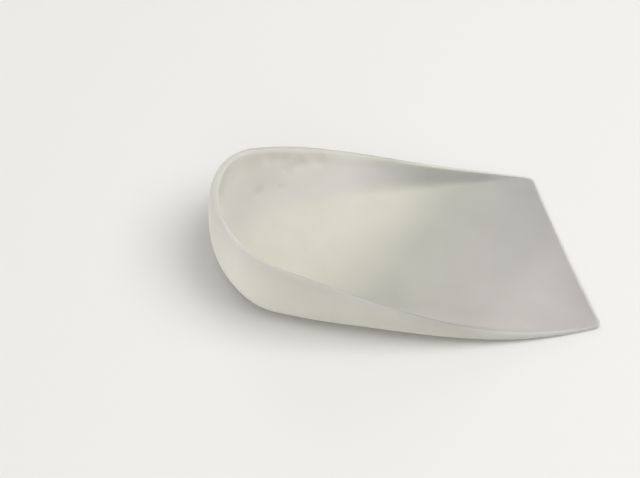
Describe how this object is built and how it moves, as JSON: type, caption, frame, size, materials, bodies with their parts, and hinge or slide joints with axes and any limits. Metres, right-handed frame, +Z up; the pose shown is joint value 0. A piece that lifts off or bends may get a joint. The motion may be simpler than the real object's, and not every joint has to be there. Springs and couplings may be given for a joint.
{
  "type": "heel cushion",
  "caption": "One-piece moulded gel heel cushion: a soft cup with a tall round heel wall that falls along both sides to a thin, straight front edge, laid in a shoe under the heel.",
  "frame": {"origin": "centre of the cushion's box, on the plane of its flat underside", "axes": "+X from the back of the heel to the straight front edge, +Y across it, +Z up from the underside to the foot"},
  "size_m": [0.1, 0.062, 0.0213],
  "materials": {
    "silicone_gel": "milky translucent silicone gel, moulded, satin"
  },
  "bodies": {
    "root": {"heel_cushion": "silicone_gel"}
  },
  "joints": []
}
